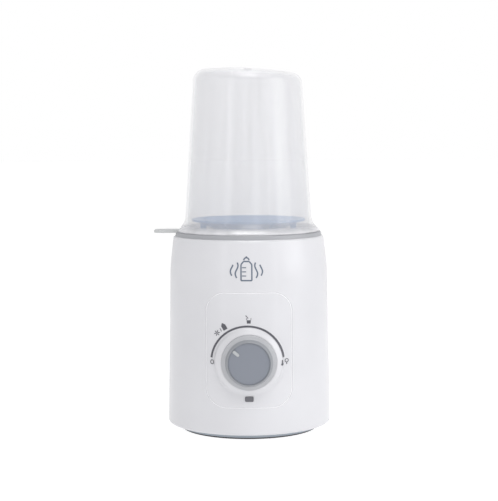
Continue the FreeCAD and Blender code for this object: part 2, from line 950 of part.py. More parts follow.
def make_heater_retainer():
    body = new_body("heater_retainer")
    low = f"{PLATE_UNDER} - retainer_thick"
    turn(body, "washer", box_corners("retainer_inner", "retainer_outer", low, PLATE_UNDER))
    hole = new_sketch(body, "hole_outline", offset=PLATE_UNDER)
    draw_circle(hole, "heater_screw_radius + 0.2", "heater_screw_ring")
    bore = pocket(body, "hole", hole, "retainer_thick")
    around(body, [bore], 4)
    return keep(body)


def make_ptc_element():
    body = new_body("ptc_element")
    low = f"{PLATE_UNDER} - element_thick"
    turn(body, "pill", box_corners("0", "element_radius", low, PLATE_UNDER))
    tab = new_sketch(body, "tab_outline", offset=f"{PLATE_UNDER} - retainer_thick - element_tab_drop")
    reach = "element_tab_reach"
    left = "element_tab_across - element_tab_width / 2"
    right = "element_tab_across + element_tab_width / 2"
    sides = box_corners(left, right, f"0 - {reach}", reach)
    draw_outline(tab, sides)
    blade = pad(body, "tab", tab, "tab_thick")
    blade.Reversed = True
    return keep(body)


def make_ptc_clamp():
    """A cranked strip: its middle bears on the element, and its ends lie under the retainer."""
    body = new_body("ptc_clamp")
    sketch = new_sketch(body, "side_view", "XZ_Plane")
    end = "retainer_outer"
    crank = "(element_radius + 3)"
    foot = f"{PLATE_UNDER} - retainer_thick"
    low = f"{PLATE_UNDER} - element_thick"
    corners = [
        (f"0 - {end}", f"{foot} - clamp_thick"),
        (f"0 - {crank} - 2", f"{foot} - clamp_thick"),
        (f"0 - {crank}", f"{low} - clamp_thick"),
        (crank, f"{low} - clamp_thick"),
        (f"{crank} + 2", f"{foot} - clamp_thick"),
        (end, f"{foot} - clamp_thick"),
        (end, foot),
        (f"{crank} + 2", foot),
        (crank, low),
        (f"0 - {crank}", low),
        (f"0 - {crank} - 2", foot),
        (f"0 - {end}", foot),
    ]
    draw_outline(sketch, corners)
    pad(body, "strip", sketch, "clamp_width", both_ways=True)
    for label, side in (("right", ""), ("left", "0 - ")):
        hole = new_sketch(body, f"{label}_hole_outline", offset=foot)
        draw_circle(hole, "heater_screw_radius + 0.2", f"{side}heater_screw_ring")
        pocket(body, f"{label}_hole", hole, "element_thick + clamp_thick")
    return keep(body)


def make_heater_screws():
    """Two of the four also hold the clamp, so their heads stand lower by its thickness."""
    solids = []
    for label, grip, turns in (("clamp_screw", "clamp_thick", 0), ("ring_screw", "0", 90)):
        body = new_body(label)
        body.setExpression("Placement.Base.x", bound("heater_screw_ring"))
        body.setExpression("Placement.Base.z", bound(f"{PLATE_UNDER} - retainer_thick - {grip}"))
        length = f"(retainer_thick + {grip} + chamber_wall + 1)"
        turn(
            body,
            "screw",
            [
                ("0", "0.8 - heater_head_height"),
                ("0.9", "0 - heater_head_height"),
                ("heater_head_radius", "0 - heater_head_height"),
                ("heater_head_radius", "0"),
                ("heater_screw_radius", "0"),
                ("heater_screw_radius", f"{length} - 1"),
                ("0", length),
            ],
        )
        solids += spun_copies(body, (turns, turns + 180))
    return keep_group("heater_screws", solids)


def make_thermal_fuse():
    """A small cartridge close under the retainer; its axis is along Y."""
    body = new_body("thermal_fuse")
    turn(
        body,
        "case",
        box_corners("0", "fuse_radius", "0 - fuse_length / 2", "fuse_length / 2"),
        {1: "0.6", 2: "0.6"},
    )
    body.Placement = Placement(Vector(0, 0, 0), Rotation(Vector(1, 0, 0), 90))
    body.setExpression("Placement.Base.x", bound("fuse_across"))
    body.setExpression("Placement.Base.y", bound("fuse_along"))
    body.setExpression("Placement.Base.z", bound(FUSE_HEIGHT))
    return keep(body)


def make_sensing_bulb():
    body = new_body("sensing_bulb")
    turn(
        body,
        "bulb",
        box_corners("0", "bulb_radius", "bulb_low", "bulb_high"),
        {1: "1.2", 2: "1.2"},
    )
    body.setExpression("Placement.Base.x", bound("bulb_ring * cos(bulb_angle)"))
    body.setExpression("Placement.Base.y", bound("bulb_ring * sin(bulb_angle)"))
    return keep(body)


# ---------------------------------------------------------------- wiring


def make_terminal_block():
    body = new_body("terminal_block")
    floor = "base_under + base_floor"
    sketch = new_sketch(body, "outline", offset=floor)
    half = "block_width / 2"
    corners = box_corners(f"0 - {half}", half, "block_front", "block_front + block_depth")
    draw_outline(sketch, corners)
    pad(body, "block", sketch, "block_height")
    wells = new_sketch(body, "wells_outline", offset=f"{floor} + block_height")
    for pole in (-1, 0, 1):
        draw_circle(wells, "pole_radius", f"{pole} * pole_pitch", "block_front + block_depth / 2")
    pocket(body, "wells", wells, "pole_depth")
    return keep(body)


def make_terminal_screws():
    floor = "base_under + base_floor"
    solids = []
    for pole in (-1, 0, 1):
        screw = new_body(f"terminal_screw_{pole + 1}")
        turn(
            screw,
            "head",
            [
                ("0", "0"),
                ("pole_radius - 0.3", "0"),
                ("pole_radius - 0.3", "2"),
                ("0.8", "2"),
                ("0", "1.2"),
            ],
        )
        screw.setExpression("Placement.Base.x", bound(f"{pole} * pole_pitch"))
        screw.setExpression("Placement.Base.y", bound("block_front + block_depth / 2"))
        screw.setExpression("Placement.Base.z", bound(f"{floor} + block_height - pole_depth"))
        solids.append(screw)
    doc.recompute()
    return keep_group("terminal_screws", [screw.Shape.copy() for screw in solids])


def route(points):
    """A wire of straight runs joined by tangent arcs through the points of a lead's route."""
    edges = []
    last = points[0]
    for before, here, after in zip(points, points[1:], points[2:]):
        incoming = before - here
        outgoing = after - here
        half_bend = (math.pi - incoming.getAngle(outgoing)) / 2
        trim = 0.45 * min(incoming.Length, outgoing.Length)
        radius = trim / math.tan(half_bend)
        start = here + incoming.normalize() * trim
        end = here + outgoing.normalize() * trim
        inward = (incoming + outgoing).normalize()
        middle = here + inward * (radius / math.cos(half_bend) - radius)
        edges.append(Part.LineSegment(last, start).toShape())
        edges.append(Part.Arc(start, middle, end).toShape())
        last = end
    edges.append(Part.LineSegment(last, points[-1]).toShape())
    return Part.Wire(edges)


def tube(points, radius):
    path = route([Vector(*point) for point in points])
    heading = Vector(*points[1]) - Vector(*points[0])
    section = Part.Wire([Part.makeCircle(radius, Vector(*points[0]), heading)])
    return path.makePipeShell([section], True, False)


def make_lead(label, radius_name, routes):
    """Insulated wire along each route, one solid each."""
    radius = number(radius_name)
    return keep_group(label, [tube(points, radius) for points in routes])


def make_wiring():
    stat_under = number("knob_height - stat_height / 2")
    tab_end = stat_under - number("tab_length")
    tab_y = -number("tab_place")
    near_tab = number("tab_first")
    far_tab = number("tab_second")
    block_front = number("block_front")
    pole = number("pole_pitch")
    heater_x = number("element_tab_across")
    heater_y = number("element_tab_reach")
    heater_z = number(f"{PLATE_UNDER} - retainer_thick - element_tab_drop - tab_thick / 2")
    fuse_x = number("fuse_across")
    fuse_z = number(FUSE_HEIGHT)
    fuse_front = number("fuse_along - fuse_length / 2")
    fuse_rear = number("fuse_along + fuse_length / 2")
    bulb_x = number("bulb_ring * cos(bulb_angle)")
    bulb_y = number("bulb_ring * sin(bulb_angle)")
    lamp_y = -number("lamp_back")
    lamp_z = number("lamp_height")
    live = [
        (-pole, block_front, 11),
        (-pole, 10, 11),
        (-4, -16, 12.5),
        (7, -40, 18),
        (far_tab, tab_y, 28),
        (far_tab, tab_y, tab_end),
    ]
    switched = [
        (heater_x, -heater_y, heater_z),
        (heater_x, -heater_y - 8, heater_z),
        (heater_x - 1, -heater_y - 9.5, 27),
        (near_tab, tab_y, 24),
        (near_tab, tab_y, tab_end),
    ]
    to_fuse = [
        (heater_x, heater_y, heater_z),
        (heater_x, heater_y + 9, heater_z),
        (heater_x + 8, heater_y + 16, 38),
        (fuse_x - 1, fuse_rear + 19, 38),
        (fuse_x, fuse_rear + 9, fuse_z),
        (fuse_x, fuse_rear, fuse_z),
    ]
    neutral = [
        (fuse_x, fuse_front, fuse_z),
        (fuse_x, fuse_front - 16, fuse_z),
        (fuse_x - 1, fuse_front - 22, 29),
        (20, -10, 17),
        (pole, 12, 11),
        (pole, block_front, 11),
    ]
    capillary = [
        (bulb_x, bulb_y, number("bulb_low")),
        (bulb_x, bulb_y, 29),
        (-12, tab_y, 28),
        (-12, tab_y, stat_under),
    ]
    lamp = [
        [
            (side, lamp_y, lamp_z),
            (side, lamp_y + 13, lamp_z),
            (side - 3, -10, 22),
            (side, 12, 11),
            (side, block_front, 11),
        ]
        for side in (-1.1, 1.1)
    ]
    make_lead("lead_live", "lead_radius", [live])
    make_lead("lead_switched", "lead_radius", [switched])
    make_lead("lead_fuse", "lead_radius", [to_fuse])
    make_lead("lead_neutral", "lead_radius", [neutral])
    make_lead("capillary_tube", "capillary_radius", [capillary])
    make_lead("lamp_leads", "lamp_lead_radius", lamp)


# ---------------------------------------------------------------- lifter, tray and hood


def make_lifter():
    """A perforated floor for the bottle, a strip up the chamber's wall and a tab to lift it by."""
    floor = new_body("lifter_floor_plate")
    low = "chamber_floor"
    turn(floor, "disc", box_corners("lifter_centre_hole", "lifter_radius", low, f"{low} + lifter_floor"))
    hole = new_sketch(floor, "hole_outline", offset=f"{low} + lifter_floor")
    draw_circle(hole, "lifter_hole", "lifter_hole_ring")
    drain = pocket(floor, "hole", hole, "lifter_floor")
    around(floor, [drain], 6)
    side = new_body("lifter_side")
    side_view = new_sketch(side, "view", "XZ_Plane")
    outer = "0 - strip_place"
    inner = "0 - strip_place + strip_thick"
    top = "arm_under + arm_thick"
    corners = [
        (outer, low),
        (inner, low),
        (inner, top),
        ("0 - arm_reach", top),
        ("0 - arm_reach", "arm_under"),
        (outer, "arm_under"),
    ]
    rounds = {2: "strip_bend + arm_thick", 3: "0.9", 4: "0.9", 5: "strip_bend"}
    draw_outline(side_view, corners, rounds)
    pad(side, "strip", side_view, "strip_width", both_ways=True)
    plan = new_body("lifter_plan")
    plan_view = new_sketch(plan, "view", offset=low)
    outline = box_corners("0 - arm_reach", "0", "0 - strip_width / 2", "strip_width / 2")
    draw_outline(plan_view, outline, {0: "arm_round", 3: "arm_round"})
    pad(plan, "block", plan_view, f"{top} - {low}")
    strip = overlap("lifter_strip", [side, plan])
    keep(unite("lifter", [floor, strip]))


def make_steam_tray():
    body = new_body("steam_tray")
    turn(
        body,
        "dish",
        [
            ("tray_hole", "tray_under"),
            ("tray_floor_radius", "tray_under"),
            ("tray_radius - 0.9", "tray_rim_under"),
            ("tray_radius", "tray_rim_under"),
            ("tray_radius", "tray_top"),
            ("tray_radius - 1.6", "tray_top"),
            ("tray_floor_radius - 0.6", "tray_under + tray_wall"),
            ("tray_hole", "tray_under + tray_wall"),
        ],
        {1: "12", 4: "0.4", 5: "0.5", 6: "10"},
    )
    rib = new_sketch(body, "rib_side_view", "XZ_Plane")
    slope = "(tray_rim_under - tray_under) / (tray_radius - 0.9 - tray_floor_radius)"
    inner_top = f"tray_under + 0.8 + {slope} * (tray_rib_inner - tray_floor_radius)"
    outer_top = f"tray_under + 0.8 + {slope} * (tray_rib_outer - tray_floor_radius)"
    corners = [
        ("tray_rib_inner", "deck_top"),
        ("tray_rib_outer", "deck_top"),
        ("tray_rib_outer", outer_top),
        ("tray_rib_inner", inner_top),
    ]
    draw_outline(rib, corners)
    leg = pad(body, "rib", rib, "2 * tray_rib_half", both_ways=True)
    around(body, [leg], 3)
    body.Placement = Placement(Vector(0, 0, 0), Rotation(Vector(0, 0, 1), 90))
    return keep(body)


def shared_edges(shape, one_surface, other_surface):
    """The numbers of the edges where a face of one kind of surface meets one of the other kind."""
    numbers = []
    for index, edge in enumerate(shape.Edges, start=1):
        owners = [face for face in shape.Faces if any(edge.isSame(side) for side in face.Edges)]
        kinds = {type(face.Surface) for face in owners}
        if {one_surface, other_surface} <= kinds:
            numbers.append(index)
    return numbers


def bell(label, inset, foot, rounds):
    """The hood's form, solid: a foot given by its corners, a tapered wall and a leaning dome."""
    body = new_body(f"{label}_wall")
    top_radius = f"hood_top_radius - {inset}"
    corners = [("0", foot[0][1])] + foot + [(top_radius, "hood_blank_top"), ("0", "hood_blank_top")]
    turn(body, "wall", corners, rounds)
    ball = doc.addObject("Part::Sphere", f"{label}_ball")
    ball.setExpression("Radius", bound(f"dome_radius - {inset}"))
    ball.setExpression("Placement.Base.x", bound("0 - dome_lean"))
    ball.setExpression("Placement.Base.z", bound("hood_top - dome_radius"))
    domed = overlap(f"{label}_domed", [body, ball])
    doc.recompute()
    brow = shared_edges(domed.Shape, Part.Cone, Part.Sphere)
    return soften(label, domed, [(brow, f"dome_round - {inset}")])


def make_hood():
    inner_foot = "hood_foot_radius - hood_wall"
    outside = bell(
        "hood_outside",
        "0",
        [
            ("hood_rib_outer", "ring_top"),
            ("hood_flange", "ring_top"),
            ("hood_flange", "ring_top + hood_flange_thick"),
            ("hood_foot_radius", "hood_foot_height"),
        ],
        {2: "hood_lip_round", 3: "hood_lip_round", 4: "hood_flare"},
    )
    inside = bell(
        "hood_inside",
        "hood_wall",
        [
            ("hood_rib_inner", "ring_top - 2"),
            ("hood_rib_inner", "ring_top"),
            (inner_foot, "ring_top + 3"),
        ],
        {},
    )
    rib = new_body("hood_rib")
    turn(
        rib,
        "rib",
        box_corners("hood_rib_inner - 1", "hood_rib_outer", "ring_top - hood_rib_drop", "ring_top + 1"),
    )
    notch = new_body("hood_notch")
    sketch = new_sketch(notch, "outline", "YZ_Plane", "0 - hood_flange - 5")
    half = "notch_width / 2"
    sides = box_corners(f"0 - {half}", half, "ring_top - 3", "notch_height")
    draw_outline(sketch, sides, {2: "1.5", 3: "1.5"})
    pad(notch, "block", sketch, "hood_flange - 20")
    vent = upright_rod("hood_vent", "vent_radius", "hood_top - 20", "hood_blank_top")
    blank = unite("hood_blank", [outside, rib])
    keep(subtract("hood", blank, unite("hood_openings", [inside, notch, vent])))


# ---------------------------------------------------------------- build, check and write


def build():
    fill_sheet()
    make_base_plate()
    make_foot_ring()
    make_base_screws()
    make_housing()
    make_control_panel()
    make_indicator()
    make_cord_gland()
    make_knob()
    make_knob_face()
    make_knob_pointer()
    make_thermostat()
    make_thermostat_shaft()
    make_thermostat_nut()
    make_thermostat_tabs()
    make_trim_ring()
    make_chamber_liner()
    make_heater_gasket()
    make_heater_plate()
    make_heater_retainer()
    make_ptc_element()
    make_ptc_clamp()
    make_heater_screws()
    make_thermal_fuse()
    make_sensing_bulb()
    make_terminal_block()
    make_terminal_screws()
    make_wiring()
    make_lifter()
    make_steam_tray()
    make_hood()
    doc.recompute()


def check():
    """Stops at anything that failed to build, before a file is written."""
    for item in doc.Objects:
        if "Invalid" in item.State or "Error" in item.State:
            raise RuntimeError(f"{item.Label} failed: {item.State}")
    for sub_part in finished:
        shape = sub_part.Shape
        if shape.isNull() or not shape.isValid() or not shape.Solids:
            raise RuntimeError(f"{sub_part.Label} has no valid solid")


def write():
    os.makedirs("parts", exist_ok=True)
    for sub_part in finished:
        shape = sub_part.Shape
        shape.exportStep(f"parts/{sub_part.Label}.step")
        box = shape.BoundBox
        print(
            f"{sub_part.Label:18s} solids {len(shape.Solids)} volume {shape.Volume:10.1f}"
            f" z {box.ZMin:7.2f} {box.ZMax:7.2f}"
        )


build()
check()
write()
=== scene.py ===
"""Looks for the bottle warmer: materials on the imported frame, printed marks, light and camera.

Everything is in metres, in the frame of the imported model: the front faces -Y and the base rests
on z = 0. Only the prints are drawn in millimetres.
"""

import math

import bmesh
import bpy
from mathutils import Matrix, Vector
from mathutils.bvhtree import BVHTree


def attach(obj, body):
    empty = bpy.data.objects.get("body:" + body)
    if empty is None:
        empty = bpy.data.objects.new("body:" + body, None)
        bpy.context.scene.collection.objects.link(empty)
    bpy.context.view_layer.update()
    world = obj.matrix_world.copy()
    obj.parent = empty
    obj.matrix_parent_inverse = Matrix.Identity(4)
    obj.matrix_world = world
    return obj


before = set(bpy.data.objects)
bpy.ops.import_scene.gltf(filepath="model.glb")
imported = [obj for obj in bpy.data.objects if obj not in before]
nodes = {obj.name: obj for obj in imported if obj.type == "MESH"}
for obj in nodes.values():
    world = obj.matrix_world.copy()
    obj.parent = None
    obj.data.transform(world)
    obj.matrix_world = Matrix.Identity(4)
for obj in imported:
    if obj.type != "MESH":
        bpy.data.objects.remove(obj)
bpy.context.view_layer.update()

MM = 0.001
# The knob's grip stands forward of this plane, and its skirt lies behind it.
KNOB_SEAM = -72.2 * MM
# The hood's foot is thick up to the first height and as thin as its wall from the second.
FOOT_THICK = 163.0 * MM
FOOT_THIN = 166.5 * MM

# Patterns that the finishes share, in waves a metre, and the depth of a moulded grain.
SHADE_DRIFT = 14.0
GLOSS_DRIFT = 60.0
CLEAR_GLOSS_DRIFT = 90.0
MOULD_GRAIN = 2200.0
MOULD_DEPTH = 0.01 * MM

# ---------------------------------------------------------------- materials


def material(name="finish"):
    """A new node material: itself, its tree and its Principled shader."""
    made = bpy.data.materials.new(name)
    made.use_nodes = True
    return made, made.node_tree, made.node_tree.nodes["Principled BSDF"]


def object_point(tree):
    """The place on the surface, in metres, the same from every view."""
    return tree.nodes.new("ShaderNodeTexCoord").outputs["Object"]


def noise(tree, scale, detail=3.0, stretch=(1.0, 1.0, 1.0)):
    """A soft random pattern of about that many waves a metre."""
    place = tree.nodes.new("ShaderNodeMapping")
    place.inputs["Scale"].default_value = stretch
    tree.links.new(object_point(tree), place.inputs["Vector"])
    cloud = tree.nodes.new("ShaderNodeTexNoise")
    cloud.inputs["Scale"].default_value = scale
    cloud.inputs["Detail"].default_value = detail
    tree.links.new(place.outputs["Vector"], cloud.inputs["Vector"])
    return cloud.outputs["Fac"]


def ranged(tree, value, start, end, first, second):
    """Runs from first to second as the value runs from start to end, and no further."""
    made = tree.nodes.new("ShaderNodeMapRange")
    made.inputs["From Min"].default_value = start
    made.inputs["From Max"].default_value = end
    made.inputs["To Min"].default_value = first
    made.inputs["To Max"].default_value = second
    tree.links.new(value, made.inputs["Value"])
    return made.outputs["Result"]


def spread(tree, pattern, low, high):
    """The pattern's middle, where most of it lies, stretched from low to high."""
    return ranged(tree, pattern, start=0.3, end=0.7, first=low, second=high)


def along_axis(tree, axis, start, end, first, second):
    """Runs from first to second between two places on an axis, in metres."""
    parts = tree.nodes.new("ShaderNodeSeparateXYZ")
    tree.links.new(object_point(tree), parts.inputs[0])
    return ranged(tree, parts.outputs[axis], start, end, first, second)


def bumped(tree, shader, pattern, depth):
    """Raises the surface by the pattern, depth in metres."""
    bump = tree.nodes.new("ShaderNodeBump")
    bump.inputs["Distance"].default_value = depth
    tree.links.new(pattern, bump.inputs["Height"])
    tree.links.new(bump.outputs["Normal"], shader.inputs["Normal"])


def scaled(colour, factor):
    """The colour made lighter or darker."""
    return tuple(channel * factor for channel in colour)


def colour_between(tree, shader, factor, first, second):
    """Gives the shader a colour that runs from first to second as the factor runs from 0 to 1."""
    mixed = tree.nodes.new("ShaderNodeMix")
    mixed.data_type = "RGBA"
    # The node has sockets A, B and Result for each kind of data; these are the colours'.
    mixed.inputs[6].default_value = (*first, 1.0)
    mixed.inputs[7].default_value = (*second, 1.0)
    tree.links.new(factor, mixed.inputs["Factor"])
    tree.links.new(mixed.outputs[2], shader.inputs["Base Color"])


def uneven_gloss(tree, shader, scale, roughness, swing):
    """Lets the roughness drift by that share of itself either way."""
    gloss = spread(tree, noise(tree, scale), roughness * (1.0 - swing), roughness * (1.0 + swing))
    tree.links.new(gloss, shader.inputs["Roughness"])


def painted_glow(shader, colour, strength):
    """Painted glow: the plastic gives off light of its own colour, though it is no lamp."""
    shader.inputs["Emission Color"].default_value = (*colour, 1.0)
    shader.inputs["Emission Strength"].default_value = strength


def moulded(colour, roughness, grain=MOULD_GRAIN, depth=MOULD_DEPTH, coat=0.0):
    """A moulded plastic: slow drift in its shade, a fine grain, and gloss that varies a little."""
    made, tree, shader = material()
    slow = spread(tree, noise(tree, SHADE_DRIFT), 0.0, 1.0)
    colour_between(tree, shader, slow, scaled(colour, 0.97), scaled(colour, 1.03))
    uneven_gloss(tree, shader, GLOSS_DRIFT, roughness, swing=0.12)
    bumped(tree, shader, noise(tree, grain, detail=2.0), depth)
    shader.inputs["IOR"].default_value = 1.5
    shader.inputs["Coat Weight"].default_value = coat
    shader.inputs["Coat Roughness"].default_value = 0.12
    return made


def metal(colour, roughness):
    """A plain metal with a worked grain."""
    made, tree, shader = material()
    grain = noise(tree, scale=900.0)
    colour_between(tree, shader, spread(tree, grain, 0.0, 1.0), scaled(colour, 0.9), colour)
    tree.links.new(spread(tree, grain, roughness * 0.8, roughness * 1.3), shader.inputs["Roughness"])
    bumped(tree, shader, grain, depth=0.02 * MM)
    shader.inputs["Metallic"].default_value = 1.0
    return made


def milky(colour, haze, foot_haze, roughness, glow):
    """A clear plastic with a white haze, which hides more at its thick foot, with painted reflection
    streaks and a painted glow.
    """
    made, tree, shader = material()
    upright = (1.0, 1.0, 0.01)
    # Upright streaks painted into the hood's colour, lighter and darker: painted reflections of upright
    # lamps.
    painted_reflection_streaks = spread(tree, noise(tree, scale=150.0, detail=2.0, stretch=upright), 0.0, 1.0)
    colour_between(tree, shader, painted_reflection_streaks, scaled(colour, 0.86), scaled(colour, 1.04))
    uneven_gloss(tree, shader, CLEAR_GLOSS_DRIFT, roughness, swing=0.15)
    thickness = along_axis(tree, "Z", FOOT_THICK, FOOT_THIN, foot_haze, haze)
    tree.links.new(thickness, shader.inputs["Alpha"])
    shader.inputs["Specular IOR Level"].default_value = 1.0
    shader.inputs["IOR"].default_value = 1.45
    # Painted glow that brightens the hood, though it is no lamp.
    painted_glow(shader, colour, glow)
    return made


def shaded_front(painted_shade_colour, back_colour, seam, roughness):
    """A moulded plastic whose raised front part, nearer than the seam, is painted darker as shade."""
    made, tree, shader = material()
    blur = 0.4 * MM
    side = along_axis(tree, "Y", seam - blur, seam + blur, 0.0, 1.0)
    colour_between(tree, shader, side, painted_shade_colour, back_colour)
    uneven_gloss(tree, shader, GLOSS_DRIFT, roughness, swing=0.12)
    bumped(tree, shader, noise(tree, MOULD_GRAIN, detail=2.0), MOULD_DEPTH)
    shader.inputs["IOR"].default_value = 1.5
    return made


def frosted(colour, see_through, roughness, glow=0.0):
    """A milky, thin plastic that lets part of the light straight through, with faint painted reflection
    streaks and a painted glow when glow is given.
    """
    made, tree, shader = material()
    upright = (1.0, 1.0, 0.08)
    # Faint upright streaks painted into the colour: painted reflections.
    painted_reflection_streaks = spread(tree, noise(tree, scale=40.0, stretch=upright), 0.0, 1.0)
    colour_between(tree, shader, painted_reflection_streaks, scaled(colour, 0.97), colour)
    uneven_gloss(tree, shader, CLEAR_GLOSS_DRIFT, roughness, swing=0.15)
    bumped(tree, shader, noise(tree, scale=1500.0, detail=2.0), depth=0.006 * MM)
    shader.inputs["IOR"].default_value = 1.45
    shader.inputs["Alpha"].default_value = 1.0 - see_through
    # Painted glow that brightens the plastic, though it is no lamp.
    painted_glow(shader, colour, glow)
    return made


def make_materials():
    """Every finish of the warmer, by its slot's name."""
    finishes = {
        "white_shell": moulded((0.565, 0.565, 0.59), 0.32, coat=0.1),
        "grey_trim": moulded((0.305, 0.31, 0.33), 0.4),
        "chamber_grey": moulded((0.75, 0.75, 0.77), 0.42),
        # The hood and the dish below carry a painted glow (glow) that brightens them.
        "frosted_cover": milky((0.53, 0.53, 0.55), haze=0.32, foot_haze=0.8, roughness=0.22, glow=0.28),
        "blue_dish": frosted((0.085, 0.21, 0.4), see_through=0.22, roughness=0.15, glow=0.22),
        "lifter_grey": moulded((0.46, 0.47, 0.475), 0.4),
        "dark_base": moulded((0.27, 0.305, 0.345), 0.5),
        "soft_rubber": moulded((0.05, 0.05, 0.055), 0.75, grain=1400.0, depth=0.03 * MM),
        # The knob's grip, forward of the seam, is painted darker than its skirt: painted shade.
        "knob_grey": shaded_front((0.235, 0.245, 0.265), (0.37, 0.375, 0.395), KNOB_SEAM, 0.35),
        "face_grey": moulded((0.18, 0.195, 0.23), 0.4),
        "pointer_white": moulded((0.37, 0.385, 0.395), 0.3),
        "smoked_lens": moulded((0.1, 0.1, 0.115), 0.15, depth=0.002 * MM, coat=0.3),
        "print_grey": moulded((0.075, 0.075, 0.09), 0.5),
        # Lighter than the shell: the seam strip's colour is a painted highlight that also hides the
        # seam's shade.
        "painted_seam_highlight": moulded((0.8, 0.8, 0.82), 0.4),
        "mark_blue_grey": moulded((0.11, 0.135, 0.18), 0.5),
        "aluminium": metal((0.78, 0.79, 0.8), 0.3),
        "steel": metal((0.62, 0.62, 0.63), 0.28),
        "brass": metal((0.72, 0.52, 0.2), 0.28),
        "copper": metal((0.72, 0.32, 0.17), 0.25),
        "silicone": moulded((0.5, 0.09, 0.05), 0.6),
        "heater_ceramic": moulded((0.7, 0.66, 0.58), 0.7),
        "black_phenolic": moulded((0.02, 0.02, 0.022), 0.45),
        "white_nylon": moulded((0.74, 0.72, 0.65), 0.45),
        "fuse_metal": moulded((0.6, 0.54, 0.35), 0.3, coat=0.4),
        "lamp_glass": frosted((0.85, 0.5, 0.35), see_through=0.6, roughness=0.05),
        "brown_sleeve": moulded((0.1, 0.04, 0.02), 0.4),
        "blue_sleeve": moulded((0.02, 0.09, 0.35), 0.4),
        "white_sleeve": moulded((0.68, 0.68, 0.66), 0.6, grain=1600.0, depth=0.04 * MM),
    }
    for name, made in finishes.items():
        made.name = name
    return finishes


SLOT_OF = {
    "base_plate": "dark_base",
    "foot_ring": "soft_rubber",
    "base_screws": "steel",
    "housing": "white_shell",
    "control_panel": "white_shell",
    "indicator_lens": "smoked_lens",
    "neon_lamp": "lamp_glass",
    "cord_gland": "soft_rubber",
    "thermostat": "black_phenolic",
    "thermostat_nut": "steel",
    "thermostat_tabs": "brass",
    "thermostat_shaft": "steel",
    "trim_ring": "grey_trim",
    "chamber_liner": "chamber_grey",
    "heater_gasket": "silicone",
    "heater_plate": "aluminium",
    "heater_retainer": "steel",
    "ptc_element": "heater_ceramic",
    "ptc_clamp": "steel",
    "heater_screws": "steel",
    "thermal_fuse": "fuse_metal",
    "sensing_bulb": "copper",
    "capillary_tube": "copper",
    "terminal_block": "white_nylon",
    "terminal_screws": "brass",
    "lead_live": "brown_sleeve",
    "lead_switched": "brown_sleeve",
    "lead_fuse": "white_sleeve",
    "lead_neutral": "blue_sleeve",
    "lamp_leads": "white_sleeve",
    "knob": "knob_grey",
    "knob_face": "face_grey",
    "knob_pointer": "pointer_white",
    "lifter": "lifter_grey",
    "steam_tray": "blue_dish",
    "hood": "frosted_cover",
}


def dress(node, made):
    """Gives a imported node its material, and smooth shading across its gentle edges."""
    node.data.materials.clear()
    node.data.materials.append(made)
    node.data.shade_smooth()
    node.data.set_sharp_from_angle(angle=math.radians(32))


finish_of = make_materials()
for name, slot in SLOT_OF.items():
    dress(nodes[name], finish_of[slot])

# ---------------------------------------------------------------- printed marks

# Prints are drawn flat, in millimetres, as (x, z): lines in steps, then cut until edges are fine.
STEP = 1.0
FINEST = 0.5
DIAL_CENTRE = Vector((-1.2, 62.5))
# Ink stands this far out of the surface behind it, and its back lies as deep in it.
PRINT_LIFT = 0.08 * MM
# Rays find that surface from ahead of the warmer, at a place and this far to its sides.
AHEAD = -0.2
INWARD = Vector((0.0, 1.0, 0.0))
SEAM_REACH = 0.15 * MM


def arc_points(centre, radius, start, end):
    """Finely spaced points on an arc; angles in degrees, anticlockwise from +X."""
    count = max(6, math.ceil(radius * math.radians(abs(end - start)) / FINEST))
    angles = [math.radians(start + (end - start) * step / count) for step in range(count + 1)]
    return [centre + radius * Vector((math.cos(angle), math.sin(angle))) for angle in angles]


def circle_points(centre, radius):
    """Finely spaced points once round, without the first again."""
    return arc_points(centre, radius, 0.0, 360.0)[:-1]


def stroke(flat, points, width, closed=False):
    """A line of that width through the points, as a strip of quads."""
    count = len(points)
    pairs = []
    for step, point in enumerate(points):
        before = points[step - 1] if step or closed else point
        after = points[(step + 1) % count] if step + 1 < count or closed else point
        along = (after - before).normalized()
        side = Vector((-along.y, along.x)) * width / 2
        edges = (point + side, point - side)
        pairs.append([flat.verts.new((spot.x, 0.0, spot.y)) for spot in edges])
    followers = pairs[1:] + (pairs[:1] if closed else [])
    for (left, right), (next_left, next_right) in zip(pairs, followers):
        flat.faces.new((left, next_left, next_right, right))


def patch(flat, corners):
    """A filled outline."""
    flat.faces.new([flat.verts.new((corner.x, 0.0, corner.y)) for corner in corners])


def line(flat, start, end, width):
    """A straight stroke, in short steps so that it follows a curved surface."""
    start, end = Vector(start), Vector(end)
    count = max(1, math.ceil((end - start).length / STEP))
    stroke(flat, [start.lerp(end, step / count) for step in range(count + 1)], width)


def placed(flat, centre, degrees=0.0):
    """Turns the drawing about the origin, then moves it to centre."""
    spin = Matrix.Rotation(math.radians(-degrees), 3, "Y")
    for vertex in flat.verts:
        vertex.co = spin @ vertex.co + Vector((centre.x, 0.0, centre.y))


def cut_fine(flat):
    """Splits the flat shapes until every edge is short enough to follow a rounded surface."""
    bmesh.ops.triangulate(flat, faces=flat.faces)
    while True:
        long_edges = [edge for edge in flat.edges if edge.calc_length() > FINEST]
        if not long_edges:
            return
        bmesh.ops.subdivide_edges(flat, edges=long_edges, cuts=1)
        bmesh.ops.triangulate(flat, faces=flat.faces)


def close_slab(flat):
    """Gives the flat shapes a back and sides; returns the vertices of the back."""
    fronts = list(flat.faces)
    edges = [edge for edge in flat.edges if edge.is_boundary]
    under = {vertex: flat.verts.new(vertex.co) for vertex in list(flat.verts)}
    for edge in edges:
        loop = edge.link_loops[0]
        first, second = loop.vert, loop.link_loop_next.vert
        flat.faces.new((second, first, under[first], under[second]))
    for face in fronts:
        flat.faces.new([under[vertex] for vertex in reversed(face.verts)])
    return set(under.values())


def front_of(trees, place):
    """The Y of the foremost surface at a place or a hair beside it, so that seams are bridged."""
    hits = []
    for across, up in ((0, 0), (1, 0), (-1, 0), (0, 1), (0, -1)):
        start = Vector((place.x + across * SEAM_REACH, AHEAD, place.z + up * SEAM_REACH))
        hits += [tree.ray_cast(start, INWARD)[0] for tree in trees]
    return min(struck.y for struck in hits if struck)


